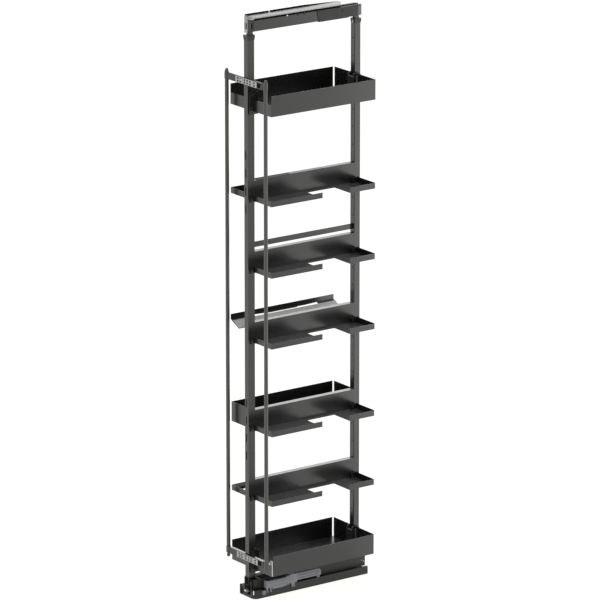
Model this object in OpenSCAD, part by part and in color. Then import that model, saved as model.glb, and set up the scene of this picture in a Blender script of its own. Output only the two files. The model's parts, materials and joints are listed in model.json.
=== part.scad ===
// Pull-out larder frame: floor runner, telescopic carriage, two posts with
// trays and shelves, door rods and an upper guide rail.
// Millimetres. +Z up, -Y is the door side (the frame pulls out that way),
// +X is the side with the notched shelves. The origin is the middle of the
// footprint, on the cabinet floor. The frame is drawn closed.

/* [Trays and shelves] */
// Width of trays and shelves across the cabinet
tray_w = 246; // [230:1:300]
// Length of trays and shelves, front to back
tray_l = 445; // [436:1:448]
// Height of the deep tray walls
wall_h = 73; // [60:1:90]
// Height of the low shelf lips
lip_h = 20; // [14:0.5:30]
// Height of the lowered front wall of the trays
front_wall_h = 42; // [25:1:55]
// Sheet thickness
sheet = 1.5; // [1:0.1:2]
// Open slit at the tray corners
slit = 5; // [2:0.5:8]
// Underside of the bottom tray above the cabinet floor
bottom_tray_z = 100; // [98:1:110]
// Underside of the lowest shelf
first_shelf_z = 359; // [340:1:380]
// Pitch of the slots in the posts
slot_pitch = 64; // [64:1:64]
// Height of the box beams that carry the shelves
spine_h = 72; // [50:1:80]
// Length of the notch in the near shelves
notch_l = 118; // [60:1:140]
// Inner edge of that notch, from the middle
notch_x = 31; // [25:1:60]

/* [Posts] */
// Width of the posts across the cabinet
post_w = 22; // [22:1:22]
// Depth of the front post
front_post_d = 28; // [28:1:28]
// Depth of the rear post
rear_post_d = 24; // [24:1:24]
// Top of the posts
post_top = 2026; // [1990:1:2026]
// Wall of the posts
post_wall = 2; // [1.5:0.1:2]

/* [Door rods] */
// Diameter of the door rods
rod_d = 14; // [10:0.5:14]
// Half the distance between the door rods
rod_x = 116.3; // [110:0.1:117]
// Height of the top door bracket, middle
bracket_top_z = 1874.5; // [1860:0.5:1880]
// Height of the bottom door bracket, middle
bracket_bottom_z = 144.5; // [140:0.5:150]
// Height of the door brackets
bracket_h = 25; // [20:1:30]

/* [Runner] */
// Width of the floor rail
rail_w = 100; // [100:1:110]
// Height of the floor rail
rail_h = 28; // [28:0.5:28]
// Diameter of the holes for the floor screws
floor_hole_d = 5.5; // [4:0.1:6]
// Diameter of the holes for the ceiling screws
ceiling_hole_d = 5; // [4:0.1:6]
// Radius of the wheels that run in the floor rail
floor_roller_r = 11.2; // [10:0.1:11.2]
// Radius of the wheels that run in the moving beam
beam_roller_r = 17.7; // [16:0.1:17.7]

/* [Hidden] */
$fn = 48;
tx = tray_w / 2;
tf = -tray_l/2 - 0.8; tr = tray_l/2 - 0.8;    // front and rear ends of trays and shelves
px = post_w / 2;
fy0 = -244; fy1 = fy0 + front_post_d;      // front post
ry0 = 214;  ry1 = ry0 + rear_post_d;       // rear post
// shelf undersides, bottom to top: 4 or 5 slots apart
shelf_z = [first_shelf_z, first_shelf_z + 4*slot_pitch, first_shelf_z + 9*slot_pitch,
           first_shelf_z + 13*slot_pitch, first_shelf_z + 17*slot_pitch];
top_tray_z = first_shelf_z + 22*slot_pitch;
notch_y0 = -5; notch_y1 = notch_y0 + notch_l;
ear = 5;                                    // clip thickness beside the posts
ear0 = px + 0.1;                            // clip inner face
axle_r = 4; axle_bore = 4.05;
damper_x = 48; damper_z = 53;
damper_feet = [[-194, 3.2], [-179.5, 3.2], [-82, 7]];
c_steel = [0.27, 0.27, 0.27];
c_dark = [0.12, 0.12, 0.12];
c_black = [0.05, 0.05, 0.05];
c_zinc = [0.72, 0.72, 0.70];
c_silver = [0.80, 0.80, 0.80];
c_grey = [0.50, 0.51, 0.53];
c_white = [0.85, 0.85, 0.83];

// ---- helpers -------------------------------------------------------------
module bx(x0, x1, y0, y1, z0, z1) translate([x0, y0, z0]) cube([x1 - x0, y1 - y0, z1 - z0]);
module cx(x0, x1, y, z, r) translate([x0, y, z]) rotate([0, 90, 0]) cylinder(r = r, h = x1 - x0);
module cy(x, y0, y1, z, r) translate([x, y0, z]) rotate([-90, 0, 0]) cylinder(r = r, h = y1 - y0);
module cz(x, y, z0, z1, r) translate([x, y, z0]) cylinder(r = r, h = z1 - z0);
// both sides of the middle plane X = 0
module sides() { children(); mirror([1, 0, 0]) children(); }
// room for a post and its clips at both ends of a tray or shelf
module post_room(z0, z1, x_ear) {
  bx(-px - 0.3, px + 0.3, -300, fy1 + 0.2, z0, z1);
  bx(-px - 0.3, px + 0.3, ry0 - 0.2, 300, z0, z1);
  sides() { bx(px - 0.3, x_ear + 0.3, -300, -199.7, z0, z1); bx(px - 0.3, x_ear + 0.3, 199.7, 300, z0, z1); }
}
// heads and shanks of the clip screws, axis along X
module clip_screw(y, z, x) { cx(x + 0.02, x + 2.2, y, z, 3.6); cx(px - 1.9, x + 0.02, y, z, 2); }

// ---- floor rail ----------------------------------------------------------
module floor_rail() color(c_dark) difference() {
  union() {
    bx(-rail_w/2, rail_w/2, -215.8, 249.5, 0, 2.5);
    sides() {
      bx(rail_w/2 - 2.5, rail_w/2, -215.8, 249.5, 0, rail_h + 1);
      bx(rail_w/2 - 10, rail_w/2, -215.8, 249.5, rail_h - 2.5, rail_h);
    }
  }
  for (x = [-30, 30], y = [-150, 200]) cz(x, y, -1, 4, floor_hole_d/2);
  for (x = [-45, 45]) cz(x, 231, 20, 40, 2.5);
  cx(40, 60, -209, 20, 3.05);
  // seats for the feet of the damper housing
  for (f = damper_feet) bx(rail_w/2 - 3, rail_w/2 + 1, f[0] - f[1] - 0.2, f[0] + f[1] + 0.2, 18, rail_h + 4);
}
module housing_plan() difference() {
  union() {
    translate([-40, -248]) square([70, 32]);
    translate([-50, -227.5]) square([100, 11.5]);
    translate([30, -228]) circle(r = 20);
  }
  translate([-60, -216]) square([120, 30]);
}
module front_housing() color(c_black) difference() {
  union() {
    linear_extrude(height = rail_h + 3.5) housing_plan();
    bx(-40, -31.5, -248, -230, 20, 35);    // raised cheek
    cz(-40 + 4, -244, 34, 36, 4);
  }
  bx(-18.5, 25, -250, -225.5, 10.8, 40);   // well of the adjusting wheel
  cz(38.95, -243.85, 11, 40, 3.4);         // groove of the set pin
  bx(-31, 31, -250, -210, 24, 40);         // way of the moving beam
}
module levelling_screws() color(c_zinc) {
  difference() {
    translate([-3.6, -238.4, 0]) {
      cz(0, 0, 18, 22.6, 12.4);
      translate([0, 0, 22.6]) cylinder(r1 = 12.4, r2 = 11.2, h = 1.4);
      translate([0, 0, 14]) cylinder(r1 = 10.6, r2 = 12.4, h = 4);
      translate([0, 0, 11.1]) cylinder(r1 = 7, r2 = 10.6, h = 2.9);
    }
    bx(-10, 3, -239.4, -237.4, 22.5, 25);
    for (k = [0:15]) translate([-3.6, -238.4, 0]) rotate([0, 0, 22.5*k + 11]) cz(13.5, 0, 17.9, 22.7, 1.5);
  }
  cz(38.95, -243.85, 11.2, 30.6, 3.1);
}
module rear_bumper() color(c_black) union() {
  bx(-14, 14, 242, 249, 2.7, 22);
  for (x = [-8, 8]) cy(x, 240.6, 242, 13, 4);
}

// ---- soft-close damper on the near side of the rail -----------------------
module damper_body() color(c_grey) difference() {
  union() {
    bx(40, 56, -200.5, -98, 34, 59);
    bx(40, 57, -98, -67, 34, 66);
    bx(40, 56.6, -200.5, -196.5, 34, 61);
    bx(50.3, 56, -174, -113, 27.6, 34.5);  // skirt in front of the rail
    bx(50.3, 56, -113, -100, 30.4, 34.5);
    // long rib on the outer face
    bx(55, 57, -190, -106, 36, 38.5);
    bx(55, 56.8, -186, -106, 50, 52);
    // feet that clip into the rail
    for (f = damper_feet) { bx(47.6, 53.5, f[0] - f[1], f[0] + f[1], 18.3, 34.5); bx(50.3, 56, f[0] - f[1], f[0] + f[1], 18.3, 22); }
  }
  bx(42, 54, -194, -66, 36, 57);
  bx(39, 43, -150, -66, 47, 59);           // way of the catch finger
  bx(49, 58, -122, -117.5, 27, 31.5);
  bx(55, 58, -113.6, -109, 30, 37);
}
module tube_plan() {
  union() {
    translate([damper_x, damper_z + 6.5]) circle(r = 8.4);
    translate([damper_x, damper_z - 7.5]) circle(r = 8.4);
    translate([damper_x - 8.4, damper_z - 7.5]) square([16.8, 14]);
  }
}
module damper_tube() color(c_grey) difference() {
  union() {
    translate([0, 38, 0]) rotate([90, 0, 0]) linear_extrude(height = 104.8) tube_plan();
    bx(46, 54, 24, 33, 31.4, 38.4);         // hook at the rear end
  }
  // sloping rear end
  translate([30, 0, 0]) rotate([90, 0, 90]) linear_extrude(height = 40) polygon([[27, 69], [40, 69], [40, 54.5]]);
  // two long grooves on the outer face
  bx(54.4, 60, -60, 26, damper_z + 2.2, damper_z + 6);
  bx(54.2, 60, -60, 26, damper_z - 7.5, damper_z - 3.6);
  cy(damper_x, -70, 34, damper_z, 6.2);
  cy(damper_x, -70, 34, damper_z - 11.2, 3.9);
}
module damper_cylinder() color(c_silver) difference() {
  cy(damper_x, -64, 33, damper_z, 6);
  cy(damper_x, -60, 29, damper_z, 4.5);
  cy(damper_x, -70, -50, damper_z, 2.08);
}
module damper_rod() color(c_silver) union() {
  cy(damper_x, -69.8, 10, damper_z, 2);
  cy(damper_x, 10, 16, damper_z, 4.4);
}
module damper_catch() color(c_black) difference() {
  union() {
    bx(43, 53, -86, -69.8, 42, 56.5);
    bx(31, 42.6, -82, -72, 48, 58);
    bx(42.5, 44, -82, -72, 48, 56.5);
  }
  cx(30, 38, -82, 53, 3.4);                // half-round seat for the catch pin
}
function coil(n, r, w, p, sides_n, steps) = [for (i = [0:n*steps]) let (a = 360*i/steps, c = [r*cos(a), p*i/steps, r*sin(a)])
  [for (k = [0:sides_n - 1]) let (b = 360*k/sides_n) c + w*(cos(b)*[cos(a), 0, sin(a)] + sin(b)*[0, 1, 0])]];
module closing_spring() color(c_silver) translate([damper_x, -60, damper_z - 11.2]) {
  s = 6; rings = coil(10, 2.7, 0.6, 8.6, s, 10); m = len(rings);
  polyhedron(points = [for (r = rings) for (p = r) p],
    faces = concat([[for (k = [0:s - 1]) k]], [[for (k = [0:s - 1]) (m - 1)*s + s - 1 - k]],
      [for (i = [0:m - 2]) for (k = [0:s - 1]) [i*s + k, (i + 1)*s + k, (i + 1)*s + (k + 1) % s]],
      [for (i = [0:m - 2]) for (k = [0:s - 1]) [i*s + k, (i + 1)*s + (k + 1) % s, i*s + (k + 1) % s]]));
}
module lock_knob() color(c_grey) difference() {
  union() { cx(50.4, 55, -209, 20, 8.6); cx(55, 56.5, -209, 20, 7); cx(44, 50.4, -209, 20, 3); }
  bx(55.4, 58, -215, -203, 18.8, 21.2);
}

// ---- telescopic carriage ---------------------------------------------------
module carriage_rail() color(c_steel) difference() {
  union() {
    bx(-14, 14, -212, 240, 30, 33);
    sides() { bx(11, 14, -212, 240, 30, 58); bx(11, 14, 22, 240, 5, 30); }
  }
  for (y = [-190, -10]) cx(-40, 40, y, 46, axle_bore);
  for (y = [40, 222]) cx(-40, 40, y, 14, axle_bore);
  for (y = [-140, -90, 60, 120, 180]) bx(-20, 20, y - 12, y + 12, 38, 52);
}
module carriage_axles() color(c_silver) {
  for (y = [-190, -10]) cx(-27.4, 27.4, y, 46, axle_r);
  for (y = [40, 222]) union() { cx(-46, 46, y, 14, axle_r); sides() cx(14.2, 33, y, 14, 6.5); }
}
module wheel(x0, x1, y, z, r) difference() {
  union() { cx(x0, x1, y, z, r); }
  cx(x0 - 1, x1 + 1, y, z, axle_bore);
  sides_ring(x0, x1, y, z, r);
}
// shallow ring recess in both faces of a wheel
module sides_ring(x0, x1, y, z, r) for (x = [[x0 - 1, x0 + 1.2], [x1 - 1.2, x1 + 1]]) difference() {
  cx(x[0], x[1], y, z, r - 2.2);
  cx(x[0] - 1, x[1] + 1, y, z, axle_bore + 2);
}
module floor_wheels(y) sides() wheel(33.6, 45, y, 14, floor_roller_r);
module beam_wheels(y) sides() wheel(17.4, 27, y, 46, beam_roller_r);
module floor_rollers_front() color(c_white) floor_wheels(40);
module floor_rollers_rear() color(c_white) floor_wheels(222);
module beam_rollers_front() color(c_white) beam_wheels(-190);
module beam_rollers_rear() color(c_white) beam_wheels(-10);

// ---- moving beam and posts -------------------------------------------------
module lower_beam() color(c_dark) difference() {
  union() {
    bx(-30, 30, -215.8, 249, 64, 66);
    sides() { bx(28, 30, -215.8, 249, 26, 66); bx(17, 30, -215.8, 249, 26, 28); }
  }
  cx(25, 35, -82, 53, 3.05);
  cx(25, 35, 240, 47, 2.6);
}
module beam_end_cap() color(c_black) difference() {
  bx(-30.6, 30.6, 249.2, 251.2, 25, 66.6);
  bx(-16, 16, 249, 252, 20, 60);
  sides() cy(23, 249, 252, 47, 2.2);
}
module catch_pin() color(c_silver) union() { cx(27.4, 37, -82, 53, 3); cx(30.05, 30.8, -82, 53, 5); }
module post_feet() color(c_black) {
  difference() {
    bx(-28, 28, -241, -216, 24.5, 66);
    bx(-px - 0.1, px + 0.1, -250, -210, 20, 80);
    sides() bx(22, 30, -242, -236, 30, 70);
  }
  // black shoe and latch on the front of the post
  difference() {
    union() { bx(-11, 11, -246.3, -244.05, 24.5, 44); bx(-10, 6, -246.3, -244.05, 43, 70); bx(-10, -2, -247.2, -246, 52, 68); }
    bx(-1, 4, -247, -245.4, 56, 66);
    bx(4, 12, -248, -245.2, 30, 40);
  }
  // low flange beside the post
  difference() { bx(-30.6, -px - 0.1, -247.4, -240.9, 24.5, 34.6); bx(-24, -18, -248, -246.2, 27, 32); }
  sides() difference() {
    union() { bx(ear0, 20, 208, 244, 66.05, 69); bx(ear0, 14, 210, 242, 66.05, 92); }
    cx(5, 30, 226, 82, 2.05);
  }
}
module post_tube(y0, y1, z0) difference() {
  bx(-px, px, y0, y1, z0, post_top);
  bx(-px + post_wall, px - post_wall, y0 + post_wall, y1 - post_wall, z0 - 1, post_top + 1);
}
module front_post() color(c_steel) difference() {
  post_tube(fy0, fy1, 24.6);
  // two groups of four slots in the front face
  for (k = [2, 3, 4, 5, 16, 17, 18, 19]) translate([0, fy0, first_shelf_z + 34.5 + k*slot_pitch]) bx(-4.7, 0.3, -1, 3, -15, 15);
  clip_holes(-228);
  for (z = [bracket_top_z, bracket_bottom_z], x = [-6, 6]) cy(x, fy0 - 1, fy0 + 3, z, 2.05);
}
module rear_post() color(c_steel) difference() {
  post_tube(ry0, ry1, 66.05);
  for (k = [-4:25]) cy(0, ry0 - 1, ry0 + 3, first_shelf_z + 8 + k*slot_pitch, 2.5);
  clip_holes(226);
  cx(-20, 20, 226, 82, 2.05);
}
module clip_holes(y) {
  for (z = shelf_z) cx(-20, 20, y, z + 9, 2.05);
  for (z = [bottom_tray_z, top_tray_z]) for (d = [14, 58]) cx(-20, 20, y, z + d, 2.05);
}
module post_collars() color(c_black) {
  for (p = [[fy0, fy1, -235, -219], [ry0, ry1, 217.5, 233.5]]) difference() {
    union() {
      bx(-13, 13, p[0] - 2, p[1] + 2, 2024, 2037);
      bx(-12, 12, p[0] - 1, p[1] + 1, 2019, 2024);
    }
    bx(-px - 0.05, px + 0.05, p[0] - 0.05, p[1] + 0.05, 2010, post_top + 0.05);
    bx(-8.3, 8.3, p[2] - 0.3, p[3] + 0.3, 2010, 2040);
  }
}

// ---- box beams, shelves and trays ------------------------------------------
module spine(z) difference() {
  bx(-px, px, fy1 + 0.2, ry0 - 0.2, z + sheet, z + spine_h);
  bx(-px + sheet, px - sheet, fy1 + 2, ry0 - 2, z, z + spine_h - sheet);
  cx(-20, 20, -207, z + 9, 2.05);
  cx(-20, 20, 205, z + 9, 2.05);
}
module spine_beam_1() color(c_steel) spine(shelf_z[0]);
module spine_beam_2() color(c_steel) spine(shelf_z[1]);
module spine_beam_3() color(c_steel) spine(shelf_z[2]);
module spine_beam_4() color(c_steel) spine(shelf_z[3]);
module spine_beam_5() color(c_steel) spine(shelf_z[4]);

// low-lipped shelf with the notch; x_in is the inner edge under the beam
module near_shelf(z, x_in) difference() {
  union() {
    bx(x_in, tx, tf, tr, z, z + sheet);
    bx(tx - sheet, tx, tf, tr, z, z + lip_h);
    for (y = [tf, tr - sheet]) bx(px + 4, tx, y, y + sheet, z, z + lip_h);
  }
  bx(notch_x, tx + 1, notch_y0, notch_y1, z - 1, z + lip_h + 1);
  post_room(z - 1, z + lip_h + 1, 16);
}
module near_shelf_1() color(c_steel) near_shelf(shelf_z[0], 0.15);
module near_shelf_2() color(c_steel) near_shelf(shelf_z[1], 0.15);
module near_shelf_3() color(c_steel) near_shelf(shelf_z[2], -px);
module near_shelf_4() color(c_steel) near_shelf(shelf_z[3], -px);
module near_shelf_5() color(c_steel) near_shelf(shelf_z[4], 0.15);

// low-lipped shelf on the far side, with or without a floor
module far_low(z, open) difference() {
  union() {
    bx(-tx, -0.15, tf, tr, z, z + sheet);
    bx(-tx, -tx + sheet, tf, tr, z, z + lip_h);
    for (y = [tf, tr - sheet]) bx(-tx, -px - 4, y, y + sheet, z, z + lip_h);
  }
  if (open) bx(-tx + 14, -px - 8, tf + 14, tr - 14, z - 1, z + 5);
  post_room(z - 1, z + lip_h + 1, 16);
}
module far_frame_1() color(c_steel) far_low(shelf_z[0], true);
module far_shelf_5() color(c_steel) far_low(shelf_z[4], false);
// deep half bin, one corner slit open
module far_bin_2() color(c_steel) difference() {
  z = shelf_z[1];
  union() {
    bx(-tx, -0.15, tf, tr, z, z + sheet);
    bx(-tx, -tx + sheet, tf, tr - slit, z, z + spine_h);
    bx(-tx, -px - 4, tf, tf + sheet, z, z + spine_h);
    bx(-tx + slit, -px - 4, tr - sheet, tr, z, z + spine_h);
  }
  post_room(z - 1, z + spine_h + 1, 16);
}
// tilted shelf: outer lip, slot along the bend, sloping floor, flat foot to the beam
module far_tilt_shelf_3() color(c_steel) difference() {
  z = shelf_z[2];
  union() {
    bx(-tx - 1.4, -tx - 1.4 + sheet, tf - 1.2, tr, z + 53.6, z + 72.5);
    translate([0, tr, 0]) rotate([90, 0, 0]) linear_extrude(height = tray_l + 1.2)
      polygon([[-tx - 1.4, z + 53.6], [-tx - 1.4 + sheet, z + 55.2], [-74, z + 31.7], [-74, z + 30]]);
    bx(-74.5, -px - 0.2, -195, 195, z + 30, z + 31.6);
    bx(-px - 1.7, -px - 0.2, -195, 195, z + 30, z + 46);
  }
  bx(-tx + 3, -tx + 10, -166, 148, z + 40, z + 60);
  // the slot widens into the lip toward both ends
  translate([-tx - 2, 0, 0]) rotate([90, 0, 90]) linear_extrude(height = 5.1) {
    polygon([[60, z + 50], [148, z + 50], [148, z + 57.5], [60, z + 53.4]]);
    polygon([[-166, z + 50], [-70, z + 50], [-70, z + 53.4], [-120, z + 57], [-166, z + 57]]);
  }
}
// pale mat on the sloping floor
module tilt_shelf_mat() color(c_silver) {
  z = shelf_z[2];
  // along the upper face of the sloping floor
  x0 = -tx + 10.5; slope = (55.2 - 31.7)/(-tx - 1.4 + sheet + 74);
  translate([0, tr - 0.5, 0]) rotate([90, 0, 0]) linear_extrude(height = tray_l - 1)
    polygon([[x0, z + 31.77 + slope*(x0 + 74)], [x0, z + 33.3 + slope*(x0 + 74)], [-74, z + 33.3], [-74, z + 31.77]]);
}
// rail along the posts, above the fourth beam
module far_rail_4() color(c_steel) difference() {
  z = shelf_z[3] + 84.2;
  bx(-px, -1, fy1 + 0.2, ry0 - 0.2, z, z + 17.3);
  bx(-px + sheet, -1 - sheet, fy1 + 2, ry0 - 2, z - 1, z + 17.3 - sheet);
}
// deep tray: two angled wall strips, open slits at the corners, lowered front wall
module tray(z, near_slit) difference() {
  union() {
    bx(-tx, tx, tf, tr, z, z + sheet);
    bx(tx - sheet, tx, tf + near_slit, tr, z, z + wall_h);
    bx(-tx, -tx + sheet, tf, tr - slit, z, z + wall_h);
    bx(-tx + slit, tx, tr - sheet, tr, z, z + wall_h);
    bx(-tx, tx - near_slit, tf, tf + sheet, z, z + front_wall_h);
  }
  post_room(z - 1, z + wall_h + 1, 17);
}
module top_tray() color(c_steel) tray(top_tray_z, 0);
module bottom_tray() color(c_steel) tray(bottom_tray_z, slit);

// clips between posts and beams or trays: one each side of each post
module shelf_clip(y0, y1, yp, yb, z) sides() difference() {
  bx(ear0, 16, y0, y1, z - 4, z + 18);
  cx(0, 30, yp, z + 9, 2.05);
  cx(0, 30, yb, z + 9, 2.05);
}
module shelf_clips() color(c_black) for (z = shelf_z) {
  shelf_clip(-236, -200, -228, -207, z);
  shelf_clip(200, 234, 226, 205, z);
}
module tray_clip(y0, y1, yp, z, drop) sides() difference() {
  union() {
    bx(ear0, 17, y0, y1, z - drop, z + 70);
    intersection() { bx(ear0, 17, y0, y1, z + 69, z + 78); cx(ear0, 17, (y0 + y1)/2, z + 60, 18); }
  }
  for (d = [14, 58]) cx(0, 30, yp, z + d, 2.05);
}
module tray_clips() color(c_black) for (z = [bottom_tray_z, top_tray_z]) {
  tray_clip(-240, -204, -228, z, 10);
  tray_clip(204, 236, 226, z, 4);
}
module clip_screws() color(c_dark) sides() {
  for (z = shelf_z) { for (y = [-228, 226]) clip_screw(y, z + 9, 16); for (y = [-207, 205]) clip_screw(y, z + 9, 16); }
  for (z = [bottom_tray_z, top_tray_z], d = [14, 58], y = [-228, 226]) clip_screw(y, z + d, 17);
  clip_screw(226, 82, 14);
}

// ---- door rods, brackets and adjusting plates -------------------------------
rod_y = -243;
module door_rods() color(c_steel) sides() cz(rod_x, rod_y, 136, 1885, rod_d/2);
module rod_caps() color(c_dark) sides() {
  difference() {
    union() {
      cz(rod_x, rod_y, bracket_top_z - 12.5, bracket_top_z + 11, 8.2);
      translate([rod_x, rod_y, bracket_top_z + 11]) cylinder(r1 = 8.2, r2 = 4, h = 13.5);
      bx(106.1, 110, rod_y - 4.5, rod_y + 2, bracket_top_z - 10, bracket_top_z + 10);
    }
    cz(rod_x, rod_y, bracket_top_z - 30, 1885.02, rod_d/2 + 0.02);
  }
  difference() {
    union() {
      cz(rod_x, rod_y, bracket_bottom_z - 11, bracket_bottom_z + 12.5, 8.2);
      cz(rod_x, rod_y, bracket_bottom_z - 22, bracket_bottom_z - 11, 5);
      translate([rod_x, rod_y, bracket_bottom_z - 22]) sphere(r = 6.4);
      bx(106.1, 110, rod_y - 4.5, rod_y + 2, bracket_bottom_z - 10, bracket_bottom_z + 10);
    }
    cz(rod_x, rod_y, 135.98, bracket_bottom_z + 30, rod_d/2 + 0.02);
  }
}
module door_bracket(z) difference() {
  union() {
    bx(-96, 100, -247.8, -244.2, z - bracket_h/2, z + bracket_h/2);
    bx(-106, 106, -247.8, -244.2, z - bracket_h/2 + 4, z + bracket_h/2 - 4);
    sides() bx(96, 106, -247.8, -240, z - 9, z + 9);
    for (s = [-1, 1]) translate([-96, -244.2, z + s*(bracket_h/2 - 8)]) rotate([90, 0, 0]) cylinder(r = 8, h = 3.6);
  }
  bx(74, 92, -249, -243, z - 8, z + 8);
  for (x = [-32, 45]) bx(x - 7, x + 7, -249, -243, z - 3.4, z + 3.4);   // slots behind the door screws
  for (x = [-6, 6]) { cy(x, -250, -240, z, 2.05); cy(x, -250, -245.9, z, 3.65); }
  bx(-12, 12, -244.2, -240, z, z + bracket_h/2 + 1);
}
module door_bracket_top() color(c_steel) door_bracket(bracket_top_z);
module door_bracket_bottom() color(c_steel) door_bracket(bracket_bottom_z);
module door_plate(z) difference() {
  union() {
    bx(-54, 72, -250, -248.1, z - 10.5, z + 10.5);
    // raised rib
    bx(-14, -10.5, -251, -249.9, z - 10.5, z + 10.5);
  }
  for (x = [-32, 45]) cy(x, -252, -247, z, 2.2);
  // two rows of small adjusting holes
  for (x = [-40, -24, 0, 16.5, 33, 57], s = [-4.75, 4.75]) bx(x - 5, x + 5, -252, -247, z + s - 3.2, z + s + 3.2);
}
module door_plate_top() color(c_zinc) door_plate(bracket_top_z);
module door_plate_bottom() color(c_zinc) door_plate(bracket_bottom_z);
module door_screws() color(c_dark) for (z = [bracket_top_z, bracket_bottom_z], x = [-6, 6]) union() {
  cy(x, -247.75, -245.92, z, 3.6); cy(x, -245.92, -242.2, z, 2);
}

// ---- upper guide ------------------------------------------------------------
module upper_beam() color(c_steel) difference() {
  bx(-20, 20, -222, 231.4, 2050, 2087.6);
  bx(-18, 18, -223, 232, 2052, 2089);
  cz(0, 225.5, 2040, 2060, 2.6);
  bx(-21, -17, 134, 240, 2084.3, 2090);      // lower far wall under the cover
}
// skirt round the beam, seen from the side as the polygon
module skirt(side_view) translate([-22, 0, 0]) rotate([90, 0, 90]) linear_extrude(height = 44) polygon(side_view);
module upper_beam_covers() color(c_dark) {
  // end block at the front
  difference() {
    union() { bx(-20, 20, -235.3, -222.1, 2050, 2091.9); bx(3.2, 20, -238, -235.2, 2050, 2091.9); }
    bx(8, 21, -233.2, -229.2, 2061, 2075);
    bx(-16.4, 0, -236, -226, 2055.5, 2080);   // hollow behind the end bracket
    bx(-16.4, -6, -236, -226, 2049, 2056);
  }
  // two skirts round the rear half of the beam, the last one with a round end
  difference() {
    skirt([[44, 2088.2], [126.6, 2088.2], [132.6, 2047.3], [51.5, 2047.3]]);
    bx(-20.05, 20.05, 40, 140, 2049.95, 2090);
  }
  difference() {
    union() { skirt([[127.2, 2088.2], [222.4, 2088.2], [222.4, 2049.2], [180, 2049.2], [177, 2047.3], [133.2, 2047.3]]); cz(0, 222.4, 2049.2, 2086.4, 22); }
    bx(-20.05, 20.05, 120, 231.5, 2049.95, 2090);
    bx(-23, -9, 134, 250, 2084.35, 2090);
    bx(-8.6, 8.6, 225, 250, 2049.95, 2090);    // way of the carriage
    bx(-8.6, 8.6, 216.5, 250, 2040, 2050.5);   // neck tube
    cx(15, 25, 198.5, 2068, 2);
  }
  // top plates beside the way of the carriage
  bx(-21.5, -9, 134.2, 236, 2084.4, 2086.2);
  bx(9, 17.9, 134.2, 231.4, 2084.4, 2086.2);
}
module neck_tubes() color(c_steel) for (p = [[-235, -219, 2049.9], [217.5, 233.5, 2049.9]]) difference() {
  bx(-8, 8, p[0], p[1], 1880, p[2]);
  bx(-6, 6, p[0] + 2, p[1] - 2, 1879, p[2] - 4);
  cz(0, (p[0] + p[1])/2, p[2] - 10, p[2] + 1, 2.1);
}
module front_end_bracket() color(c_zinc) difference() {
  union() {
    bx(-17, 3, -238, -236.8, 2043, 2101);
    bx(-17, 20, -238, -222.3, 2092, 2098);
    bx(-17, -12, -236, -226, 2097, 2101);
  }
  for (x = [[-15.8, -11], [-6, -1]]) bx(x[0], x[1], -240, -235, 2057, 2078);
  cy(-11, -240, -235, 2050.6, 3.4);
  cz(10, -229, 2090, 2100, 2.2);
}
module upper_carriage() color(c_silver) difference() {
  bx(-7, 7, -205, 142, 2056, 2096.5);
  bx(-5, 5, -206, 143, 2058, 2098);
  for (y = [-190, -30]) cz(0, y, 2050, 2060, 2.05);
}
module upper_glides() color(c_black) {
  for (y = [-190, -30]) sides() difference() {
    bx(7.1, 17.6, y - 14, y + 14, 2056, 2084);
    bx(11, 18.5, y - 8, y + 8, 2062, 2078);
  }
  for (y = [30, 125]) sides() bx(7.1, 12.6, y - 14, y + 14, 2090.8, 2096.6);
}
// C-shaped rail with a screw flange on the far side
module ceiling_rail() color(c_silver) difference() {
  union() {
    bx(-25, 15, -222, 170, 2097, 2098.5);
    sides() { bx(13, 15, -222, 170, 2089, 2098.5); bx(8.5, 15, -222, 170, 2089, 2090.5); }
  }
  for (y = [-140, 60]) cz(-20, y, 2090, 2110, ceiling_hole_d/2);
  // sloping rear corner
  translate([0, 0, 2080]) linear_extrude(height = 30) polygon([[16, 150], [16, 172], [-12, 172], [-12, 170]]);
}
module rail_edge_strips() color(c_black) {
  // far side: two lengths, the rear one sloping down
  bx(-27.5, -25.05, -229, -128, 2095, 2104);
  translate([-27.5, 0, 0]) rotate([90, 0, 90]) linear_extrude(height = 2.45)
    polygon([[-124, 2095], [170, 2095], [170, 2098.5], [20, 2104], [-124, 2104]]);
  bx(15.05, 17.5, -222, 150, 2088.6, 2093);
}

floor_rail();
front_housing();
rear_bumper();
levelling_screws();
damper_body();
damper_tube();
damper_cylinder();
closing_spring();
lock_knob();
damper_catch();
damper_rod();
carriage_rail();
carriage_axles();
floor_rollers_front();
floor_rollers_rear();
beam_rollers_front();
beam_rollers_rear();
lower_beam();
beam_end_cap();
catch_pin();
post_feet();
front_post();
rear_post();
post_collars();
spine_beam_1();
spine_beam_2();
spine_beam_3();
spine_beam_4();
spine_beam_5();
near_shelf_1();
near_shelf_2();
near_shelf_3();
near_shelf_4();
near_shelf_5();
far_frame_1();
far_bin_2();
far_tilt_shelf_3();
tilt_shelf_mat();
far_rail_4();
far_shelf_5();
top_tray();
bottom_tray();
shelf_clips();
tray_clips();
clip_screws();
door_rods();
rod_caps();
door_bracket_top();
door_bracket_bottom();
door_plate_top();
door_plate_bottom();
door_screws();
upper_beam();
upper_beam_covers();
neck_tubes();
front_end_bracket();
upper_carriage();
upper_glides();
ceiling_rail();
rail_edge_strips();
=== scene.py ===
import bpy
import bmesh
import json
import math
from mathutils import Matrix, Vector


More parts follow.
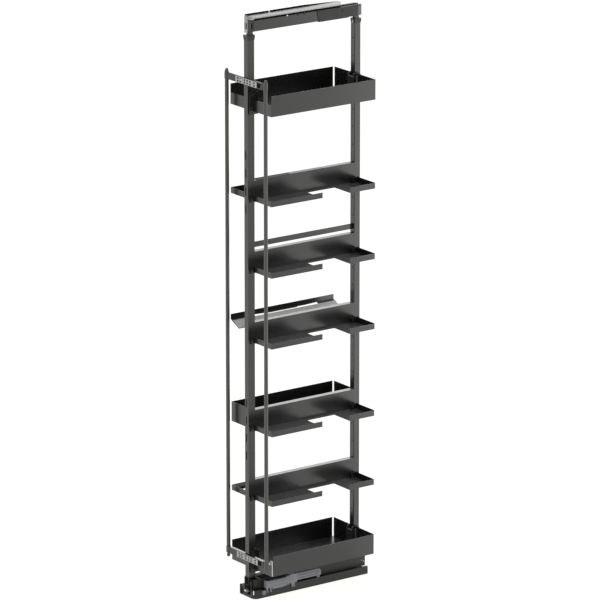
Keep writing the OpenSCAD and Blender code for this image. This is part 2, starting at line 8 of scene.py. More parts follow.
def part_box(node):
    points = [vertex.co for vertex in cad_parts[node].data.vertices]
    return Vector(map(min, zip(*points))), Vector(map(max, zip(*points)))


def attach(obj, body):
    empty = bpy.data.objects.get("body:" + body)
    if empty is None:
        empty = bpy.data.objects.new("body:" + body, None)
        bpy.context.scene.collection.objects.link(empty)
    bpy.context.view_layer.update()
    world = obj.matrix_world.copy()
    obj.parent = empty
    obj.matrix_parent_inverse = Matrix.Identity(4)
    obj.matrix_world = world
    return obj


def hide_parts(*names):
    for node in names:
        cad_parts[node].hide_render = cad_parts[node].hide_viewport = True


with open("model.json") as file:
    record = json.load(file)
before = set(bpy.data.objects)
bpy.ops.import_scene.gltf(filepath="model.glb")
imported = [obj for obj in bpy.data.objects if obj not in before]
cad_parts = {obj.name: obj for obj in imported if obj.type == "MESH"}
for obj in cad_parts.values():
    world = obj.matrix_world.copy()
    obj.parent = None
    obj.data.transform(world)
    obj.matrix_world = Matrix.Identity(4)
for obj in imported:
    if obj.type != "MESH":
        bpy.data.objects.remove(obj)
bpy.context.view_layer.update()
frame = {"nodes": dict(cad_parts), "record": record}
NODES = frame["nodes"]
MM = 0.001


# ---------------------------------------------------------------- materials
def new_material(name):
    m = bpy.data.materials.new(name)
    m.use_nodes = True
    nt = m.node_tree
    nt.nodes.clear()
    out = nt.nodes.new("ShaderNodeOutputMaterial")
    b = nt.nodes.new("ShaderNodeBsdfPrincipled")
    nt.links.new(b.outputs["BSDF"], out.inputs["Surface"])
    co = nt.nodes.new("ShaderNodeTexCoord")
    return m, nt, b, co


def noise(nt, co, scale, detail=2.0, rough=0.5, stretch=None):
    n = nt.nodes.new("ShaderNodeTexNoise")
    n.inputs["Scale"].default_value = scale
    n.inputs["Detail"].default_value = detail
    n.inputs["Roughness"].default_value = rough
    src = co.outputs["Object"]
    if stretch:
        mp = nt.nodes.new("ShaderNodeMapping")
        mp.inputs["Scale"].default_value = stretch
        nt.links.new(src, mp.inputs["Vector"])
        src = mp.outputs["Vector"]
    nt.links.new(src, n.inputs["Vector"])
    return n.outputs["Fac"]


def ramp(nt, fac, stops):
    r = nt.nodes.new("ShaderNodeValToRGB")
    e = r.color_ramp.elements
    while len(e) < len(stops):
        e.new(0.5)
    for el, (p, c) in zip(e, stops):
        el.position = p
        el.color = (c[0], c[1], c[2], 1.0)
    nt.links.new(fac, r.inputs["Fac"])
    return r.outputs["Color"]


def to_range(nt, fac, a, b, lo=0.0, hi=1.0):
    r = nt.nodes.new("ShaderNodeMapRange")
    r.inputs["From Min"].default_value = lo
    r.inputs["From Max"].default_value = hi
    r.inputs["To Min"].default_value = a
    r.inputs["To Max"].default_value = b
    nt.links.new(fac, r.inputs["Value"])
    return r.outputs["Result"]


def bump(nt, b, height, strength, dist, prev=None):
    n = nt.nodes.new("ShaderNodeBump")
    n.inputs["Strength"].default_value = strength
    n.inputs["Distance"].default_value = dist
    nt.links.new(height, n.inputs["Height"])
    if prev is not None:
        nt.links.new(prev, n.inputs["Normal"])
    nt.links.new(n.outputs["Normal"], b.inputs["Normal"])
    return n.outputs["Normal"]


def shade(c, k):
    return tuple(max(0.0, v * k) for v in c)


def powder_coat(name, base, rough, spec, coat=1.0, coat_rough=0.2, coat_ior=1.5, level=0.0):
    """Fine-textured powder coat: slow tone drift, fine speckle, orange peel under a clear gloss.
    Up-facing faces are made paler by `level`: painted light, as if lit from above."""
    m, nt, b, co = new_material(name)
    b.inputs["Coat Weight"].default_value = coat
    b.inputs["Coat Roughness"].default_value = coat_rough
    b.inputs["Coat IOR"].default_value = coat_ior
    slow = noise(nt, co, 5.0, 3.0)
    fine = noise(nt, co, 1400.0, 2.0)
    mix = nt.nodes.new("ShaderNodeMix")
    mix.data_type = "RGBA"
    mix.blend_type = "MULTIPLY"
    mix.inputs["Factor"].default_value = 1.0
    nt.links.new(ramp(nt, slow, [(0.3, shade(base, 0.92)), (0.7, shade(base, 1.08))]), mix.inputs["A"])
    nt.links.new(ramp(nt, fine, [(0.35, (0.86,) * 3), (0.62, (1.0,) * 3), (0.75, (1.25,) * 3)]), mix.inputs["B"])
    colour = mix.outputs["Result"]
    # painted light: up-facing faces are mixed toward a paler colour
    if level:
        geo = nt.nodes.new("ShaderNodeNewGeometry")
        xyz = nt.nodes.new("ShaderNodeSeparateXYZ")
        nt.links.new(geo.outputs["True Normal"], xyz.inputs["Vector"])
        up = to_range(nt, xyz.outputs["Z"], 0.0, 1.0, 0.75, 0.98)
        top_light = nt.nodes.new("ShaderNodeMix")
        top_light.data_type = "RGBA"
        nt.links.new(up, top_light.inputs["Factor"])
        nt.links.new(colour, top_light.inputs["A"])
        nt.links.new(ramp(nt, noise(nt, co, 30.0, 4.0), [(0.3, (level * 0.85,) * 3), (0.7, (level * 1.15,) * 3)]), top_light.inputs["B"])
        colour = top_light.outputs["Result"]
    nt.links.new(colour, b.inputs["Base Color"])
    nt.links.new(to_range(nt, noise(nt, co, 60.0, 3.0), rough - 0.03, rough + 0.03, 0.3, 0.7), b.inputs["Roughness"])
    b.inputs["Specular IOR Level"].default_value = spec
    p = bump(nt, b, noise(nt, co, 420.0, 1.0), 0.10, 0.0002)
    bump(nt, b, noise(nt, co, 1500.0, 2.0), 0.10, 0.0001, p)
    return m


def plastic(name, base, rough, spec, grain=0.25, scale=1800.0):
    """Moulded plastic with a fine spark-eroded grain."""
    m, nt, b, co = new_material(name)
    slow = noise(nt, co, 18.0, 4.0)
    nt.links.new(ramp(nt, slow, [(0.3, shade(base, 0.9)), (0.7, shade(base, 1.1))]), b.inputs["Base Color"])
    nt.links.new(to_range(nt, noise(nt, co, 140.0, 3.0), rough - 0.06, rough + 0.06, 0.3, 0.7), b.inputs["Roughness"])
    b.inputs["Specular IOR Level"].default_value = spec
    v = nt.nodes.new("ShaderNodeTexVoronoi")
    v.inputs["Scale"].default_value = scale
    nt.links.new(co.outputs["Object"], v.inputs["Vector"])
    bump(nt, b, v.outputs["Distance"], grain, 0.0002)
    return m


def metal(name, base, rough, grain, drift=0.06, spangle=0.0):
    """Bare metal: drawn grain along one axis, cloudy zinc spangle where it is galvanised."""
    m, nt, b, co = new_material(name)
    b.inputs["Metallic"].default_value = 1.0
    streak = noise(nt, co, 40.0, 4.0, 0.6, grain)
    col = ramp(nt, streak, [(0.25, shade(base, 1 - drift)), (0.75, shade(base, 1 + drift))])
    if spangle:
        v = nt.nodes.new("ShaderNodeTexVoronoi")
        v.inputs["Scale"].default_value = 150.0
        nt.links.new(co.outputs["Object"], v.inputs["Vector"])
        mix = nt.nodes.new("ShaderNodeMix")
        mix.data_type = "RGBA"
        mix.blend_type = "MULTIPLY"
        mix.inputs["Factor"].default_value = 1.0
        nt.links.new(col, mix.inputs["A"])
        nt.links.new(ramp(nt, v.outputs["Color"], [(0.0, (1 - spangle,) * 3), (1.0, (1 + spangle,) * 3)]), mix.inputs["B"])
        col = mix.outputs["Result"]
    nt.links.new(col, b.inputs["Base Color"])
    nt.links.new(to_range(nt, noise(nt, co, 55.0, 4.0, 0.6, grain), rough - 0.07, rough + 0.07, 0.25, 0.75), b.inputs["Roughness"])
    bump(nt, b, streak, 0.06, 0.0002)
    return m


MAT = {
    "powder_coat": powder_coat("powder_coat_anthracite", (0.0050, 0.0050, 0.0046), 0.5, 0.10, 1.0, 0.25, 1.57),
    "dark_metal": powder_coat("black_coated_steel", (0.004, 0.004, 0.0037), 0.5, 0.10, 1.0, 0.28, 1.42),
    "black_plastic": plastic("black_plastic", (0.007, 0.007, 0.007), 0.38, 0.42),
    "grey_plastic": plastic("bluish_grey_plastic", (0.165, 0.175, 0.19), 0.42, 0.5, 0.15),
    "pale_plastic": plastic("pale_nylon", (0.66, 0.65, 0.61), 0.35, 0.5, 0.1),
    "zinc": metal("die_cast_zinc", (0.40, 0.40, 0.39), 0.34, (1.0, 1.0, 1.0), 0.08),
    "bright_steel": metal("bright_steel", (0.60, 0.60, 0.60), 0.30, (12.0, 0.4, 12.0), 0.05),
    "dark_screw": metal("black_zinc_plate", (0.06, 0.06, 0.062), 0.35, (1.0, 1.0, 1.0), 0.1),
    "pale_mat": plastic("pale_grey_mat", (0.42, 0.42, 0.42), 0.55, 0.4, 0.5, 600.0),
}

# finishes that differ a little from the rest of their slot
OWN = {
    "door_rods": powder_coat("rod_coat", (0.0070, 0.0070, 0.0066), 0.5, 0.10, 1.0, 0.32, 1.74),
    "ceiling_rail": metal("galvanised_rail", (0.335, 0.335, 0.33), 0.42, (12.0, 0.4, 12.0), 0.05, 0.05),
    # lower beam: the last argument paints its up-facing faces a little paler, painted light
    "lower_beam": powder_coat("black_beam_coat", (0.028, 0.028, 0.026), 0.55, 0.10, 0.8, 0.40, 1.34, 0.004),
    "door_bracket_top": powder_coat("bracket_coat", (0.0050, 0.0050, 0.0046), 0.5, 0.10, 1.0, 0.25, 1.43),
}
OWN["door_bracket_bottom"] = OWN["door_bracket_top"]
# box beams 1-3: up-facing tops painted paler, painted light from above
for k, top_light in ((1, 0.20), (2, 0.20), (3, 0.13)):
    OWN["spine_beam_%d" % k] = powder_coat("box_beam_coat_%d" % k, (0.0050, 0.0050, 0.0046), 0.5, 0.10, 1.0, 0.25, 1.57, top_light)
# matt black rubber, also used as painted shade in slits, gaps and corners
MATT_BLACK = plastic("matt_black_rubber_and_shade", (0.003, 0.003, 0.003), 0.7, 0.08)
CLIP_GREY = plastic("dark_grey_clip", (0.022, 0.022, 0.022), 0.36, 0.5)
OWN["rail_edge_strips"] = MATT_BLACK
OWN["levelling_screws"] = metal("dull_wheel_zinc", (0.20, 0.20, 0.198), 0.4, (1.0, 1.0, 1.0), 0.08)
OWN["front_end_bracket"] = metal("dull_zinc", (0.30, 0.30, 0.295), 0.38, (1.0, 1.0, 1.0), 0.08)
# pale edge profile of the bottom tray; also the painted highlights on the lower door bracket, the set pin and the wheel
# rim
PALE_EDGE = plastic("pale_edge_profile_and_highlight", (0.88, 0.87, 0.82), 0.35, 0.5, 0.1)
PALE_CORNER = plastic("pale_corner_strip", (0.50, 0.49, 0.46), 0.35, 0.5, 0.1)
OWN["rod_caps"] = OWN["door_rods"]
# shelf and tray coats: up-facing faces painted paler, painted light from above
SHELF_COAT = powder_coat("shelf_coat", (0.0050, 0.0050, 0.0046), 0.5, 0.10, 1.0, 0.25, 1.57, 0.055)
TRAY_COAT = powder_coat("tray_coat", (0.0050, 0.0050, 0.0046), 0.5, 0.10, 1.0, 0.25, 1.57, 0.028)
for k in range(1, 6):
    OWN["near_shelf_%d" % k] = SHELF_COAT
OWN["bottom_tray"] = TRAY_COAT

SLOT = {s["node"]: s["material_slot"] for s in frame["record"]["subparts"]}


def finish_of(node):
    return OWN.get(node, MAT[SLOT[node]])


def dress(obj, mat):
    obj.data.materials.clear()
    obj.data.materials.append(mat)
    for p in obj.data.polygons:
        p.material_index = 0


def edge(obj, width, segments=2, angle=40):
    """Small rounded edges: corner points joined, flat faces merged, then a bevel."""
    w = obj.modifiers.new("join", "WELD")
    w.merge_threshold = 2e-6
    d = obj.modifiers.new("flat", "DECIMATE")
    d.decimate_type = "DISSOLVE"
    d.angle_limit = math.radians(0.15)
    b = obj.modifiers.new("edge", "BEVEL")
    b.width = width * MM
    b.segments = segments
    b.limit_method = "ANGLE"
    b.angle_limit = math.radians(angle)
    b.use_clamp_overlap = True


for name, obj in NODES.items():
    if obj.data.materials:
        for i in range(len(obj.data.materials)):
            obj.data.materials[i] = finish_of(name)
    else:
        obj.data.materials.append(finish_of(name))

EDGES = {
    0.35: ["near_shelf_%d" % i for i in range(1, 6)] + ["far_frame_1", "far_bin_2", "far_tilt_shelf_3", "far_shelf_5",
           "top_tray", "bottom_tray", "far_rail_4", "door_plate_top", "door_plate_bottom", "ceiling_rail"],
    0.5: ["spine_beam_%d" % i for i in range(1, 6)] + ["front_post", "rear_post", "floor_rail", "lower_beam", "carriage_rail",
          "upper_beam", "neck_tubes", "front_end_bracket", "upper_carriage", "tilt_shelf_mat"],
    0.7: ["door_bracket_top", "door_bracket_bottom", "upper_beam_covers", "rail_edge_strips", "beam_end_cap",
          "damper_body", "damper_tube", "damper_catch", "rear_bumper", "upper_glides"],
    1.0: ["shelf_clips", "tray_clips", "post_feet", "post_collars", "front_housing"],
}
for width, names in EDGES.items():
    for name in names:
        edge(NODES[name], width)


# ---------------------------------------------------------------- small pieces
def place(bm, name, node_finish, body, smooth=False, replaces=None):
    me = bpy.data.meshes.new(name)
    bmesh.ops.recalc_face_normals(bm, faces=bm.faces)
    bm.to_mesh(me)
    bm.free()
    o = bpy.data.objects.new(name, me)
    bpy.context.scene.collection.objects.link(o)
    me.materials.append(node_finish)
    if smooth:
        me.polygons.foreach_set("use_smooth", [True] * len(me.polygons))
        me.set_sharp_from_angle(angle=math.radians(35))
    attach(o, body)
    if replaces:
        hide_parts(replaces)
    return o


def block(bm, x0, x1, y0, y1, z0, z1, r=0.4, seg=2):
    """Box with rounded edges, millimetres."""
    m = Matrix.Translation(Vector(((x0 + x1) / 2, (y0 + y1) / 2, (z0 + z1) / 2)) * MM) @ Matrix.Diagonal(
        (abs(x1 - x0) * MM, abs(y1 - y0) * MM, abs(z1 - z0) * MM, 1.0))
    v = bmesh.ops.create_cube(bm, size=1.0, matrix=m)["verts"]
    es = list({e for p in v for e in p.link_edges})
    bmesh.ops.bevel(bm, geom=es, offset=r * MM, segments=seg, profile=0.5, affect="EDGES", clamp_overlap=True)


def prism(bm, axis, a0, a1, outline, r=0.3):
    """Outline of (u, v) points drawn along one axis, millimetres."""
    def at(a, u, v):
        return Vector({"X": (a, u, v), "Y": (u, a, v), "Z": (u, v, a)}[axis]) * MM
    lo = [bm.verts.new(at(a0, *q)) for q in outline]
    hi = [bm.verts.new(at(a1, *q)) for q in outline]
    faces = [bm.faces.new(lo[::-1]), bm.faces.new(hi)]
    n = len(outline)
    faces += [bm.faces.new((lo[k], lo[(k + 1) % n], hi[(k + 1) % n], hi[k])) for k in range(n)]
    es = list({e for f in faces for e in f.edges})
    bmesh.ops.bevel(bm, geom=es, offset=r * MM, segments=2, profile=0.5, affect="EDGES", clamp_overlap=True)


def lathe(bm, centre, axis, profile, seg=24, hexes=()):
    """Turned shape: profile of (radius, height) along the axis; radii listed in hexes are six-sided."""
    axis = Vector(axis).normalized()
    u = axis.orthogonal().normalized()
    w = axis.cross(u)
    c = Vector(centre) * MM
    rings = []
    for k, (r, h) in enumerate(profile):
        if r <= 0:
            rings.append([bm.verts.new(c + axis * h * MM)])
            continue
        ring = []
        for i in range(seg):
            a = 2 * math.pi * i / seg
            q = r
            if k in hexes:
                q = r * math.cos(math.pi / 6) / math.cos((a % (math.pi / 3)) - math.pi / 6)
            ring.append(bm.verts.new(c + axis * h * MM + (u * math.cos(a) + w * math.sin(a)) * q * MM))
        rings.append(ring)
    for a, b in zip(rings, rings[1:]):
        for i in range(seg):
            k = (i + 1) % seg
            if len(a) == 1:
                bm.faces.new((a[0], b[i], b[k]))
            elif len(b) == 1:
                bm.faces.new((a[i], b[0], a[k]))
            else:
                bm.faces.new((a[i], b[i], b[k], a[k]))


def socket_screw(bm, at, axis, r=3.6, h=2.2, shank=2.0, length=5.5):
    """Button-head screw with a hexagon socket; `at` is under the head."""
    lathe(bm, at, axis, [(0, -length), (shank * 0.7, -length), (shank, -length + 0.6), (shank, 0.0), (r, 0.02), (r, h * 0.35), (r * 0.93, h * 0.62),
                         (r * 0.78, h * 0.86), (r * 0.56, h), (r * 0.50, h), (r * 0.47, h * 0.93), (r * 0.47, h * 0.35), (0, h * 0.25)], 24, (10, 11))


BRACKETS = [1874.5, 144.5]
SPINE_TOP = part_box("spine_beam_5")[1][2] / MM
SHELVES = [359, 615, 935, 1191, 1447]

# clip screws and bracket screws with button heads
bm = bmesh.new()
for sx in (-1, 1):
    for z in SHELVES:
        for y in (-228, -207, 205, 226):
            socket_screw(bm, (sx * 16.02, y, z + 9), (sx, 0, 0))
    for z in (100, 1767):
        for d in (14, 58):
            for y in (-228, 226):
                socket_screw(bm, (sx * 17.02, y, z + d), (sx, 0, 0))
    socket_screw(bm, (sx * 14.02, 226, 82), (sx, 0, 0), length=4.0)
place(bm, "clip_screw_heads", MAT["dark_screw"], "frame", True, "clip_screws")
bm = bmesh.new()
for z in BRACKETS:
    for x in (-6, 6):
        socket_screw(bm, (x, -245.92, z), (0, -1, 0), 3.6, 1.8, 2.0, 3.6)
place(bm, "bracket_screw_heads", MAT["dark_screw"], "frame", True, "door_screws")

# turned end caps of the door rods
bm = bmesh.new()
for sx in (-1, 1):
    x, y = sx * 116.3, -243.0
    z = BRACKETS[0]
    lathe(bm, (x, y, z), (0, 0, 1), [(7.05, -12.5), (7.9, -12.5), (8.3, -12.0), (8.3, 1.0), (7.7, 1.5), (7.7, 2.3), (8.3, 2.8), (8.3, 10.0), (7.7, 12.5),
                                     (6.2, 17.5), (4.9, 21.0), (4.4, 23.2), (3.2, 24.2), (0, 24.5)], 32)
    block(bm, sx * 106.1, sx * 111.0, -247.5, -241.0, z - 10, z + 10, 0.8)
    z = BRACKETS[1]
    lathe(bm, (x, y, z), (0, 0, 1), [(0, -28.4), (3.0, -27.8), (5.2, -25.8), (6.3, -23.0), (6.3, -21.0), (5.3, -18.0), (4.9, -15.5), (5.3, -13.0), (7.4, -11.2),
                                     (8.3, -10.4), (8.3, -3.0), (7.7, -2.5), (7.7, -1.7), (8.3, -1.2), (8.3, 12.0), (7.9, 12.5), (7.05, 12.5)], 32)
    block(bm, sx * 106.1, sx * 111.0, -247.5, -241.0, z - 10, z + 10, 0.8)
place(bm, "turned_rod_caps", OWN["rod_caps"], "frame", True, "rod_caps")

# black joints between brackets and caps, black plugs in the bracket slots
bm = bmesh.new()
for z in BRACKETS:
    for sx in (-1, 1):
        block(bm, sx * 103.4, sx * 107.4, -248.3, -243.4, z - 10.6, z + 10.6, 0.6)
place(bm, "bracket_joints", MAT["black_plastic"], "frame")
bm = bmesh.new()
for z in BRACKETS:
    block(bm, 74.0, 92.0, -248.0, -241.6, z - 7.8, z + 7.8, 0.8)
place(bm, "bracket_plugs", MATT_BLACK, "frame")

# pale edge profile on the front wall of the bottom tray and strip in its open corner
bm = bmesh.new()
for x0, x1 in ((-122.6, -18.2), (18.2, 112.0)):
    block(bm, x0, x1, -224.0, -221.2, 141.0, 147.8, 0.5)
# pale strips on the top edge of the lower door bracket: painted highlight
for x0, x1 in ((-95.5, -8.0), (50.5, 99.5)):
    block(bm, x0, x1, -247.7, -244.3, 156.8, 157.5, 0.25)
place(bm, "pale_tray_edge_and_bracket_highlight", PALE_EDGE, "frame")
bm = bmesh.new()
block(bm, 120.9, 122.4, -223.1, -220.2, 100.8, 158.0, 0.4)
prism(bm, "Y", -223.6, -221.6, [(102.5, 148.0), (121.2, 144.0), (121.2, 158.0), (113.0, 158.0)], 0.3)
place(bm, "pale_tray_corner", PALE_CORNER, "frame")

# hooks and tab along the near edge of the upper beam
bm = bmesh.new()
for y in (-36.0, -9.0):
    block(bm, 18.0, 21.2, y - 2.4, y + 2.4, 2083.0, 2090.6, 0.6)
    block(bm, 19.8, 21.6, y - 4.6, y + 4.6, 2083.0, 2086.0, 0.5)
place(bm, "upper_hooks", MAT["black_plastic"], "upper_beam")
bm = bmesh.new()
block(bm, 21.7, 22.9, 150.0, 158.5, 2074.0, 2080.5, 0.5)
block(bm, 22.2, 23.3, 152.0, 156.5, 2070.5, 2077.0, 0.4)
place(bm, "cover_latch", MAT["black_plastic"], "upper_beam")
bm = bmesh.new()
block(bm, 18.0, 20.9, -86.0, -79.0, 2086.0, 2091.0, 0.6)
place(bm, "upper_tab", MAT["zinc"], "upper_beam")
bm = bmesh.new()
block(bm, 17.6, 20.3, -238.4, -236.6, 2063.0, 2078.0, 0.3)
place(bm, "end_block_edge", OWN["door_rods"], "upper_beam")
# black strips on the upper beam: painted shadow in the slit of the front end block, behind its slots, in gaps at its
# top and at the rear neck, and along the joint on the flange
bm = bmesh.new()
block(bm, 19.2, 20.15, -236.2, -230.8, 2061.6, 2078.6, 0.3)
block(bm, 5.0, 18.0, -238.2, -237.2, 2089.4, 2091.9, 0.2)
block(bm, -5.6, 1.0, 217.2, 218.2, 2037.4, 2049.2, 0.2)
block(bm, -16.3, -8.4, -236.85, -235.4, 2056.0, 2079.6, 0.2)
block(bm, 0.5, 19.7, -237.2, -231.2, 2097.8, 2098.15, 0.1)
place(bm, "upper_painted_shadows", MATT_BLACK, "upper_beam")

# rear end of the runner: pale screw in the beam, screws in the rail flanges
bm = bmesh.new()
socket_screw(bm, (30.02, 245.6, 42.0), (1, 0, 0), 2.3, 1.2, 1.2, 1.6)
place(bm, "beam_end_screw", MAT["pale_plastic"], "frame", True)
bm = bmesh.new()
for sx in (-1, 1):
    socket_screw(bm, (sx * 45, 231, 28.02), (0, 0, 1), 4.2, 2.7, 2.2, 3.5)
place(bm, "rail_flange_screws", MAT["zinc"], "runner", True)
bm = bmesh.new()
block(bm, 30.05, 30.6, 244.4, 248.4, 27.0, 38.6, 0.2)
place(bm, "beam_end_stop", MAT["black_plastic"], "frame")

# round ends of the last cover, either side of the way of the carriage
bm = bmesh.new()
for a0, a1 in ((0, 66), (114, 180)):
    arc = [math.radians(a0 + (a1 - a0) * k / 12) for k in range(13)]
    ring = [(22.5 * math.cos(a), 222.4 + 22.5 * math.sin(a)) for a in arc] + [(21.9 * math.cos(a), 222.4 + 21.9 * math.sin(a)) for a in arc[::-1]]
    if a0 == 0:
        ring = [(22.5, 216.5)] + ring + [(21.9, 216.5)]
    else:
        ring = ring[:13] + [(-22.5, 216.5), (-21.9, 216.5)] + ring[13:]
    prism(bm, "Z", 2049.6, 2084.0, ring, 0.12)
place(bm, "cover_round_ends", OWN["door_rods"], "upper_beam", True)

# rear collar: pale set screw strip and the black joint of the collar
bm = bmesh.new()
block(bm, -1.2, 1.8, 211.5, 213.6, 2020.6, 2029.4, 0.4)
place(bm, "collar_strip", MAT["pale_plastic"], "frame")
bm = bmesh.new()
prism(bm, "Y", 211.6, 213.0, [(5.6, 2037.0), (10.4, 2037.0), (12.9, 2024.2), (9.2, 2024.2)], 0.2)
prism(bm, "Y", 212.6, 213.6, [(8.4, 2024.0), (11.9, 2024.0), (11.9, 2019.4), (9.4, 2019.4)], 0.2)
place(bm, "collar_joint", MATT_BLACK, "frame")

# covers of the rear tray clips, which reach round the post
bm = bmesh.new()
for z in (100, 1767):
    block(bm, -18.4, 18.4, 202.9, 204.6, z + 3, z + 66, 0.6)
    for sx in (-1, 1):
        block(bm, sx * 16.6, sx * 18.4, 203.4, 221.0, z + 3, z + 66, 0.6)
place(bm, "rear_clip_covers", CLIP_GREY, "frame")
bm = bmesh.new()
for z in (100, 1767):
    block(bm, -9.0, 17.8, 202.3, 203.4, z + 62.6, z + 66.4, 0.4)
    for sx in (-1, 1):
        block(bm, sx * 17.6, sx * 19.6, 215.6, 221.4, z + 3, z + 67, 0.7)
place(bm, "rear_clip_ribs", MAT["grey_plastic"], "frame")

# black pads on the foot of the front post and on the far cheek of the housing; the thin black strips on top of the foot
# and along the lower beam are painted shade under the bottom tray
bm = bmesh.new()
block(bm, -9.6, 5.6, -246.9, -246.0, 44.4, 69.6, 0.3)
block(bm, -10.6, 10.6, -246.9, -246.0, 29.0, 42.0, 0.3)
block(bm, -10.05, -1.95, -247.5, -247.0, 52.2, 67.9, 0.2)
for sx in (-1, 1):
    block(bm, sx * 11.3, sx * 27.8, -235.8, -216.2, 65.8, 66.4, 0.2)
    block(bm, sx * 11.3, sx * 21.8, -241.4, -240.8, 56.5, 66.2, 0.2)
block(bm, -4.0, 28.6, -204.0, 200.0, 65.6, 66.6, 0.3)
place(bm, "foot_pads_and_shade_strips", MATT_BLACK, "frame")
# rear post, between the box beams: black angle strips on the near front corner, painted shade of a corner gap, wider
# low down; coated edge strips on the far one
RAIL = [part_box("spine_beam_%d" % k) for k in range(1, 6)]
ENDS = [270.0] + [v / MM for b in RAIL for v in (b[0][2], b[1][2])] + [2018.0]
SPANS = [(178.0, 270.0)] + [(ENDS[i] + 0.4, ENDS[i + 1] - 0.4) for i in range(0, len(ENDS), 2)]
bm = bmesh.new()
for z0, z1 in SPANS:
    front, near = (2.4, 1.7) if z0 < 200 else (1.8, 0.9) if z0 < 900 else (1.5, 0.8)
    block(bm, 11.0 - front, 11.12, 213.86, 214.06, z0, z1, 0.05)
    block(bm, 10.94, 11.12, 213.9, 214.0 + near, z0, z1, 0.05)
place(bm, "rear_post_shade_strips", MATT_BLACK, "frame")
bm = bmesh.new()
for z0, z1 in SPANS:
    block(bm, -11.0 - (1.4 if z0 < 900 else 2.3), -10.9, 214.1, 219.0, z0, z1, 0.3)
place(bm, "rear_post_edge", MAT["powder_coat"], "frame")

# folded hems: rear lips of the near shelves, lips of the highest far shelf, rear and far walls of the bottom tray
bm = bmesh.new()
for k in range(1, 6):
    lo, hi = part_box("near_shelf_%d" % k)
    block(bm, 16.2, hi[0] / MM - 0.2, hi[1] / MM - 1.45, hi[1] / MM - 0.05, hi[2] / MM - 0.5, hi[2] / MM + (0.9 if k == 1 else 1.5), 0.3)
place(bm, "near_shelf_hems", SHELF_COAT, "frame")
bm = bmesh.new()
lo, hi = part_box("far_shelf_5")
block(bm, lo[0] / MM + 0.05, lo[0] / MM + 1.45, lo[1] / MM + 0.1, hi[1] / MM - 0.1, hi[2] / MM - 0.5, hi[2] / MM + 1.5, 0.3)
block(bm, lo[0] / MM + 0.1, -16.2, lo[1] / MM + 0.05, lo[1] / MM + 1.45, hi[2] / MM - 0.5, hi[2] / MM + 1.0, 0.3)
place(bm, "far_shelf_hems", MAT["powder_coat"], "frame")
bm = bmesh.new()
lo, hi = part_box("bottom_tray")
for x0, x1 in ((-117.8, -17.2), (17.2, 121.4)):
    block(bm, x0, x1, hi[1] / MM - 1.45, hi[1] / MM - 0.05, hi[2] / MM - 0.5, hi[2] / MM + 1.5, 0.3)
block(bm, lo[0] / MM + 0.05, lo[0] / MM + 1.45, lo[1] / MM + 0.1, hi[1] / MM - 5.2, hi[2] / MM - 0.5, hi[2] / MM + 1.1, 0.3)
place(bm, "bottom_tray_hems", TRAY_COAT, "frame")
# upright hems on the near edge of the far rail and on the far edge of the highest box beam, the second running out
bm = bmesh.new()
lo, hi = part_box("far_rail_4")
block(bm, hi[0] / MM - 1.45, hi[0] / MM - 0.05, lo[1] / MM + 0.2, hi[1] / MM - 0.2, hi[2] / MM - 0.5, hi[2] / MM + 2.9, 0.3)
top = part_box("spine_beam_5")[1][2] / MM
prism(bm, "X", -10.95, -9.5, [(-215.5, top - 0.5), (70.0, top - 0.5), (70.0, top + 0.2), (-215.5, top + 1.8)], 0.12)
place(bm, "beam_hems", MAT["powder_coat"], "frame")
# lower edge of the tilted shelf's lip, over the ends of its slot
bm = bmesh.new()
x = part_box("far_tilt_shelf_3")[0][0] / MM
prism(bm, "X", x + 0.05, x + 1.45, [(60.0, 987.7), (100.0, 987.7), (148.0, 990.0), (148.0, 993.0), (60.0, 989.2)], 0.12)
prism(bm, "X", x + 0.05, x + 1.45, [(-166.0, 989.0), (-120.0, 989.0), (-88.0, 987.5), (-70.0, 987.6), (-70.0, 989.2), (-120.0, 992.5),
      (-166.0, 992.5)], 0.12)
place(bm, "tilt_lip_hems", MAT["powder_coat"], "frame")
bm = bmesh.new()
block(bm, -39.6, -23.0, -248.35, -247.5, 2.6, 23.4, 0.3)
block(bm, -39.6, -32.0, -248.35, -247.5, 20.0, 34.4, 0.3)
place(bm, "cheek_pad", MATT_BLACK, "runner")
bm = bmesh.new()
lathe(bm, (38.95, -243.85, 0), (0, 0, 1), [(3.0, 11.3), (3.28, 11.6), (3.28, 30.2), (2.9, 30.7), (0, 30.7)], 24)
place(bm, "set_pin_sleeve", MAT["black_plastic"], "runner", True)


def arc_strip(bm, centre, r0, r1, a0, a1, z0, z1):
    """Upright strip bent round an axis, angles in degrees."""
    steps = [math.radians(a0 + (a1 - a0) * k / 12) for k in range(13)]
    ring = [(centre[0] + r1 * math.cos(t), centre[1] + r1 * math.sin(t)) for t in steps]
    ring += [(centre[0] + r0 * math.cos(t), centre[1] + r0 * math.sin(t)) for t in reversed(steps)]
    prism(bm, "Z", z0, z1, ring, 0.05)


# pale arcs on the set pin and on the rim of the levelling wheel: painted highlights
bm = bmesh.new()
for half, z0, z1 in ((14, 14.2, 16.2), (27, 16.15, 28.4), (16, 28.35, 30.2)):
    arc_strip(bm, (38.95, -243.85), 3.2, 3.42, -35.7 - half, -35.7 + half, z0, z1)
arc_strip(bm, (-3.6, -238.4), 12.3, 12.7, 200.0, 284.0, 18.6, 24.1)
place(bm, "runner_painted_highlights", PALE_EDGE, "runner")

# strips of duller coat on the top of the highest box beam, duller toward the front: painted shade on that top
for k, (y0, y1, coat) in enumerate(((-206.5, -62.0, 0.14), (-61.8, 79.8, 0.75), (80.0, 204.5, 1.0))):
    bm = bmesh.new()
    block(bm, -10.9, 10.9, y0, y1, SPINE_TOP - 0.3, SPINE_TOP + 0.5, 0.25)
    shade_coat = powder_coat("shade_strip_coat_%d" % k, (0.0050, 0.0050, 0.0046), 0.5, 0.06, coat, 0.25, 1.5)
    place(bm, "beam_top_shade_strip_%d" % k, shade_coat, "frame")

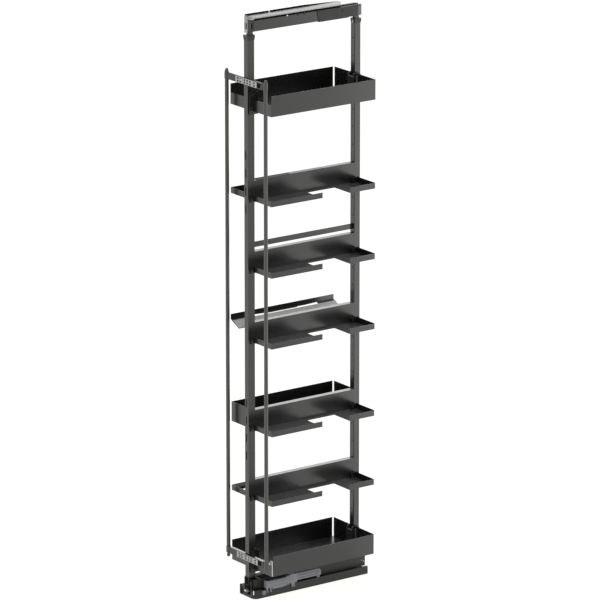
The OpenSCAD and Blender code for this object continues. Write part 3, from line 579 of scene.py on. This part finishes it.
# ramp between the two heights of the damper housing
bm = bmesh.new()
prism(bm, "X", 40.4, 56.4, [(-122.0, 58.6), (-97.9, 58.6), (-97.9, 65.6)], 0.4)
place(bm, "damper_ramp", MAT["grey_plastic"], "runner")

# ---------------------------------------------------------------- studio
WORLD, WALL = 1.0, 1.7
scene = bpy.context.scene
scene.view_settings.view_transform = "Standard"
scene.view_settings.look = "None"

world = bpy.data.worlds.new("studio")
scene.world = world
world.use_nodes = True
wnt = world.node_tree
bg = wnt.nodes["Background"]
bg.inputs["Color"].default_value = (1.0, 1.0, 1.0, 1.0)
# even white surroundings with one brighter wall low down behind the object
wco = wnt.nodes.new("ShaderNodeTexCoord")
dot = wnt.nodes.new("ShaderNodeVectorMath")
dot.operation = "DOT_PRODUCT"
dot.inputs[1].default_value = Vector((-0.78, 0.56, 0.24)).normalized()
wnt.links.new(wco.outputs["Generated"], dot.inputs[0])
wnt.links.new(to_range(wnt, dot.outputs["Value"], WORLD, WALL, 0.86, 0.965), bg.inputs["Strength"])

fm = bpy.data.meshes.new("floor")
fm.from_pydata([(-60, -60, 0), (60, -60, 0), (60, 60, 0), (-60, 60, 0)], [], [(0, 1, 2, 3)])
floor = bpy.data.objects.new("floor", fm)
scene.collection.objects.link(floor)
fmat, fnt, fb, fco = new_material("floor_white")
nt = fnt
fnt.links.new(ramp(fnt, noise(fnt, fco, 0.6, 2.0), [(0.3, (0.125,) * 3), (0.7, (0.135,) * 3)]), fb.inputs["Base Color"])
fb.inputs["Roughness"].default_value = 0.9
fb.inputs["Specular IOR Level"].default_value = 0.0
fb.inputs["Emission Color"].default_value = (1.0, 1.0, 0.96, 1)
fb.inputs["Emission Strength"].default_value = 0.94
fm.materials.append(fmat)
floor.location.z = -0.0005

# tall soft light to the right and behind, which lifts the rear ends of the near faces
def softbox(name, pos, look, w, h, radiance):
    d = bpy.data.lights.new(name, "AREA")
    d.shape = "RECTANGLE"
    d.size, d.size_y = w, h
    d.energy = radiance * math.pi * w * h
    o = bpy.data.objects.new(name, d)
    scene.collection.objects.link(o)
    o.location = pos
    o.rotation_mode = "QUATERNION"
    o.rotation_quaternion = (Vector(look) - Vector(pos)).to_track_quat("-Z", "Y")
    o.visible_camera = False
    return o


SIDE = Vector((0.811, 0.585, 0.0)) * 1.7 + Vector((-0.585, 0.811, 0.0)) * 0.55
softbox("side_softbox", (SIDE.x, SIDE.y, 0.95), (0.0, 0.2, 0.95), 1.0, 2.6, 1.3)

# low flat light in front of the near side, so the feet of the posts aren't darker than the rest
d = bpy.data.lights.new("floor_softbox", "AREA")
d.shape = "RECTANGLE"
d.size, d.size_y = 1.0, 1.3
d.energy = 0.5 * math.pi * 1.3
low = bpy.data.objects.new("floor_softbox", d)
scene.collection.objects.link(low)
ALONG, ACROSS = Vector((0.811, 0.585, 0.0)), Vector((-0.585, 0.811, 0.0))
low.matrix_world = Matrix.Translation(ALONG * 1.1 + ACROSS * 0.55 + Vector((0, 0, 0.004))) @ Matrix(
    (ACROSS, ALONG, Vector((0, 0, -1)))).transposed().to_4x4()
low.visible_camera = False

# camera
AZ, EL, DIST = math.radians(54.2841), math.radians(15.8040), 18.63380
TARGET = Vector((-0.006702, -0.009066, 1.049811))
back = Vector((math.sin(AZ) * math.cos(EL), -math.cos(AZ) * math.cos(EL), math.sin(EL)))
cam_data = bpy.data.cameras.new("camera")
cam = bpy.data.objects.new("camera", cam_data)
scene.collection.objects.link(cam)
cam.rotation_mode = "QUATERNION"
cam.location = TARGET + back * DIST
cam.rotation_quaternion = (-back).to_track_quat("-Z", "Y")
cam_data.sensor_width = 36.0
cam_data.lens = 36.0 * 5299.86 / 600.0
cam_data.clip_start = 0.1
cam_data.clip_end = 200.0
scene.camera = cam
